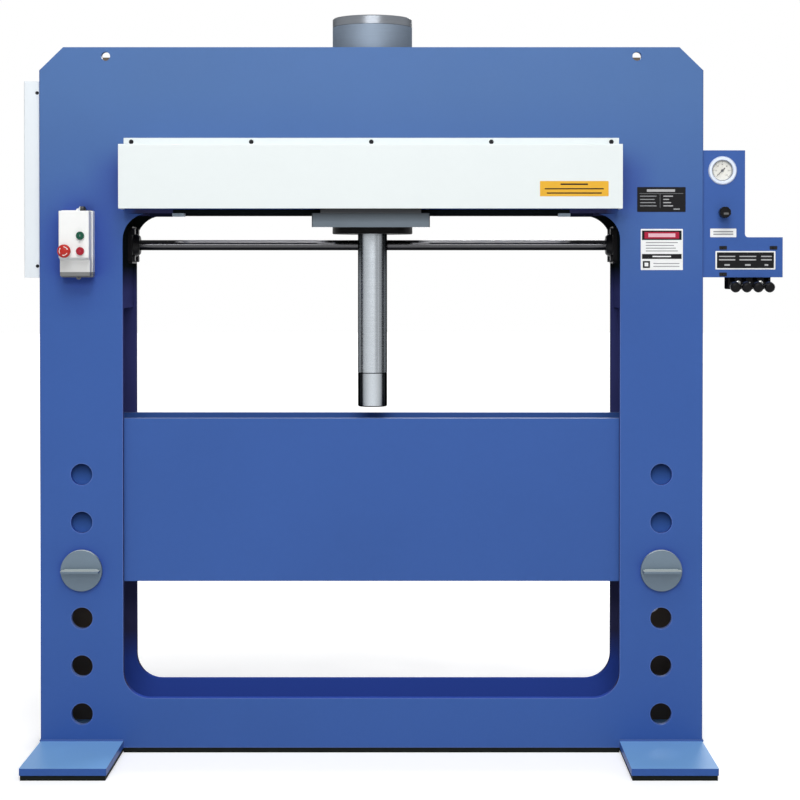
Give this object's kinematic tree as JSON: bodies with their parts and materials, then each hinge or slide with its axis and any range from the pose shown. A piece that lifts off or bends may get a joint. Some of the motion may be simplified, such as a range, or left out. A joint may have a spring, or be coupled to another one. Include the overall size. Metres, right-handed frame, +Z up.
{
  "type": "hydraulic press",
  "caption": "Open-fronted hydraulic workshop press: plate frame, cylinder on a rolling carriage, ram, pinned height-adjustable bed, winding shaft, gauge and lever valves.",
  "frame": {"origin": "on the floor, under the middle of the base beam", "axes": "+X to the right along the beam, +Y to the back, +Z up"},
  "size_m": [2.289, 0.95, 2.232],
  "materials": {
    "blue_paint": "satin",
    "white_paint": "satin",
    "grey_paint": "satin",
    "dark_paint": "satin",
    "machined_steel": "machined",
    "pin_steel": "turned",
    "polished_steel": "polished",
    "blackened_steel": "blackened",
    "black_steel": "satin",
    "cast_iron": "cast",
    "rubber": "matt",
    "pale_plastic": "moulded",
    "green_plastic": "moulded",
    "red_plastic": "moulded",
    "black_plastic": "moulded",
    "dial_face": "printed",
    "clear_glass": "clear"
  },
  "bodies": {
    "frame": {"front_frame_plate": "blue_paint", "rear_frame_plate": "blue_paint", "left_side_plate": "blue_paint", "right_side_plate": "blue_paint", "bearing_plates": "blue_paint", "frame_ties": "blue_paint", "feet": "blue_paint", "foot_pads": "rubber", "base_strip": "rubber", "carriage_rails": "machined_steel", "carriage_stops": "machined_steel", "front_cover": "white_paint", "rear_cover": "white_paint", "cover_screws": "black_steel", "side_cover": "grey_paint", "side_cover_screws": "black_steel", "oil_tank": "dark_paint", "tank_lid": "dark_paint", "pump": "cast_iron", "pump_motor": "dark_paint", "starter_base": "pale_plastic", "starter_lid": "pale_plastic", "control_panel": "blue_paint", "gauge_case": "polished_steel", "gauge_dial": "dial_face", "gauge_glass": "clear_glass", "relief_valve": "machined_steel", "valve_block": "cast_iron", "flange_bearings": "cast_iron", "bearing_bolts": "black_steel"},
    "carriage": {"carriage_plate": "machined_steel", "cylinder_barrel": "machined_steel", "cylinder_cap": "machined_steel", "gland_ring": "blackened_steel", "roller_hangers": "machined_steel", "roller_axles": "machined_steel"},
    "ram": {"ram_rod": "polished_steel", "ram_end": "polished_steel", "piston": "machined_steel"},
    "bed": {"front_bed_plate": "blue_paint", "rear_bed_plate": "blue_paint", "bed_ties": "blue_paint", "bed_lugs": "blue_paint"},
    "shaft": {"lift_shaft": "blackened_steel", "rope_drums": "machined_steel"},
    "left_pin": {"left_pin": "pin_steel"},
    "right_pin": {"right_pin": "pin_steel"},
    "needle": {"gauge_needle": "black_steel"},
    "knob": {"pressure_knob": "black_plastic"},
    "start_button": {"start_button": "green_plastic"},
    "stop_button": {"stop_button": "red_plastic"},
    "emergency_button": {"emergency_button": "red_plastic"},
    "front_left_roller": {"front_left_roller": "machined_steel"},
    "rear_left_roller": {"rear_left_roller": "machined_steel"},
    "front_right_roller": {"front_right_roller": "machined_steel"},
    "rear_right_roller": {"rear_right_roller": "machined_steel"},
    "lever_1": {"lever_1": "black_plastic"},
    "lever_2": {"lever_2": "black_plastic"},
    "lever_3": {"lever_3": "black_plastic"},
    "lever_4": {"lever_4": "black_plastic"}
  },
  "joints": [
    {"name": "carriage_travel", "type": "slide", "parent": "frame", "child": "carriage", "axis": [1, 0, 0], "range_m": [-0.389, 0.389]},
    {"name": "ram_stroke", "type": "slide", "parent": "carriage", "child": "ram", "axis": [0, 0, 1], "range_m": [0, 0.42]},
    {"name": "bed_lift", "type": "slide", "parent": "frame", "child": "bed", "axis": [0, 0, 1], "range_m": [0, 0.29]},
    {"name": "lift_shaft_turn", "type": "hinge", "parent": "frame", "child": "shaft", "pos_m": [0, 0.072, 1.537], "axis": [-1, 0, 0], "range_deg": [0, 416]},
    {"name": "left_pin_pull", "type": "slide", "parent": "frame", "child": "left_pin", "axis": [0, -1, 0], "range_m": [0, 0.33]},
    {"name": "right_pin_pull", "type": "slide", "parent": "frame", "child": "right_pin", "axis": [0, -1, 0], "range_m": [0, 0.33]},
    {"name": "front_left_roller_turn", "type": "hinge", "parent": "carriage", "child": "front_left_roller", "pos_m": [-0.11, -0.174, 1.7503], "axis": [0, 1, 0], "range_deg": [-745, 745]},
    {"name": "rear_left_roller_turn", "type": "hinge", "parent": "carriage", "child": "rear_left_roller", "pos_m": [-0.11, 0.174, 1.7503], "axis": [0, 1, 0], "range_deg": [-745, 745]},
    {"name": "front_right_roller_turn", "type": "hinge", "parent": "carriage", "child": "front_right_roller", "pos_m": [0.11, -0.174, 1.7503], "axis": [0, 1, 0], "range_deg": [-745, 745]},
    {"name": "rear_right_roller_turn", "type": "hinge", "parent": "carriage", "child": "rear_right_roller", "pos_m": [0.11, 0.174, 1.7503], "axis": [0, 1, 0], "range_deg": [-745, 745]},
    {"name": "needle_swing", "type": "hinge", "parent": "frame", "child": "needle", "pos_m": [1.059, -0.139, 1.759], "axis": [0, 1, 0], "range_deg": [0, 270], "stiffness_Nm_per_rad": 0.002},
    {"name": "knob_turn", "type": "hinge", "parent": "frame", "child": "knob", "pos_m": [1.061, -0.145, 1.632], "axis": [0, 1, 0], "range_deg": [-360, 360]},
    {"name": "lever_1_tilt", "type": "hinge", "parent": "frame", "child": "lever_1", "pos_m": [1.09, -0.118, 1.419], "axis": [1, 0, 0], "range_deg": [-14, 14], "stiffness_Nm_per_rad": 10},
    {"name": "lever_2_tilt", "type": "hinge", "parent": "frame", "child": "lever_2", "pos_m": [1.124, -0.118, 1.419], "axis": [1, 0, 0], "range_deg": [-14, 14], "stiffness_Nm_per_rad": 10},
    {"name": "lever_3_tilt", "type": "hinge", "parent": "frame", "child": "lever_3", "pos_m": [1.158, -0.118, 1.419], "axis": [1, 0, 0], "range_deg": [-14, 14], "stiffness_Nm_per_rad": 10},
    {"name": "lever_4_tilt", "type": "hinge", "parent": "frame", "child": "lever_4", "pos_m": [1.192, -0.118, 1.419], "axis": [1, 0, 0], "range_deg": [-14, 14], "stiffness_Nm_per_rad": 10},
    {"name": "start_push", "type": "slide", "parent": "frame", "child": "start_button", "axis": [0, 1, 0], "range_m": [0, 0.004], "stiffness_N_per_m": 400},
    {"name": "stop_push", "type": "slide", "parent": "frame", "child": "stop_button", "axis": [0, 1, 0], "range_m": [0, 0.004], "stiffness_N_per_m": 400},
    {"name": "emergency_push", "type": "slide", "parent": "frame", "child": "emergency_button", "axis": [0, 1, 0], "range_m": [0, 0.006], "stiffness_N_per_m": 500}
  ],
  "couplings": [
    {"joint": "lift_shaft_turn", "follows": "bed_lift", "rad_per_m": 25},
    {"joint": "front_left_roller_turn", "follows": "carriage_travel", "rad_per_m": 33.333},
    {"joint": "rear_left_roller_turn", "follows": "carriage_travel", "rad_per_m": 33.333},
    {"joint": "front_right_roller_turn", "follows": "carriage_travel", "rad_per_m": 33.333},
    {"joint": "rear_right_roller_turn", "follows": "carriage_travel", "rad_per_m": 33.333}
  ]
}
